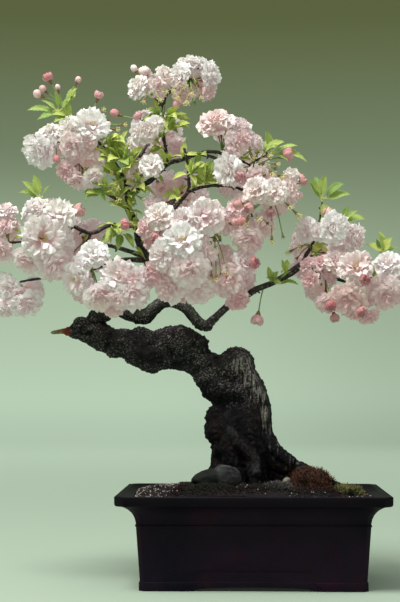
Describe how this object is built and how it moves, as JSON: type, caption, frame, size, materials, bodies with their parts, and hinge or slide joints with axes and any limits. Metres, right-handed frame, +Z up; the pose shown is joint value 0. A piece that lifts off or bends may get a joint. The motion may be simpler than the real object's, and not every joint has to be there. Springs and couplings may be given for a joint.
{
  "type": "cherry blossom bonsai",
  "caption": "Bonsai cherry in flower with a trunk leaning to the left, double pale pink blossoms and young leaves, planted in a rectangular unglazed clay pot.",
  "frame": {"origin": "bottom centre of the whole object's bounding box, on the surface that the pot stands on", "axes": "+Z up, +X along the pot's long side to the right as seen from the front, -Y towards the viewer"},
  "size_m": [0.5588, 0.2806, 0.7048],
  "materials": {
    "pot_clay": "satin",
    "soil": "matte",
    "bark": "matte",
    "petals": "matte",
    "leaf_and_stalk": "satin",
    "moss": "matte",
    "stone": "matte",
    "drain_mesh": "matte"
  },
  "bodies": {
    "root": {"pot": "pot_clay", "drain_screen_left": "drain_mesh", "drain_screen_right": "drain_mesh", "trunk_and_branches": "bark", "soil": "soil", "dark_wedge_stone": "stone", "round_grey_stone": "stone", "rust_moss_mound": "moss", "green_moss_tuft": "moss", "grey_lichen_moss": "moss", "olive_moss_patch": "moss", "blossom_upper_left_front": "petals", "blossom_upper_left_tip": "petals", "blossom_upper_left_low": "petals", "blossom_upper_left_buds": "petals", "blossom_upper_left_back": "petals", "blossom_top_left": "petals", "blossom_top_right": "petals", "blossom_upper_middle": "petals", "blossom_inner_upper": "petals", "blossom_crown_right_top": "petals", "blossom_crown_right_middle": "petals", "blossom_crown_right_shelf": "petals", "blossom_crown_right_low": "petals", "blossom_centre_top": "petals", "blossom_centre_left": "petals", "blossom_centre_front": "petals", "blossom_centre_low": "petals", "blossom_centre_right": "petals", "blossom_left_top": "petals", "blossom_left_front": "petals", "blossom_left_end": "petals", "blossom_left_low": "petals", "blossom_lower_left": "petals", "blossom_lower_middle": "petals", "blossom_right_top": "petals", "blossom_right_inner": "petals", "blossom_right_front": "petals", "blossom_right_end": "petals", "blossom_hanging_bud": "petals", "blossom_back_top": "petals", "blossom_back_crown": "petals", "blossom_back_low": "petals", "blossom_back_left": "petals", "blossom_back_right": "petals", "blossom_back_shelf": "petals", "leaves_upper_left": "leaf_and_stalk", "leaves_upper_left_inner": "leaf_and_stalk", "leaves_leader": "leaf_and_stalk", "leaves_top_middle": "leaf_and_stalk", "leaves_left_pair": "leaf_and_stalk", "leaves_left_arc": "leaf_and_stalk", "leaves_left_low": "leaf_and_stalk", "leaves_middle": "leaf_and_stalk", "leaves_crown_right": "leaf_and_stalk", "leaves_right_top": "leaf_and_stalk", "leaves_right_side": "leaf_and_stalk", "leaves_right_end": "leaf_and_stalk", "leaves_low_branch": "leaf_and_stalk", "leaves_centre": "leaf_and_stalk"}
  },
  "joints": []
}
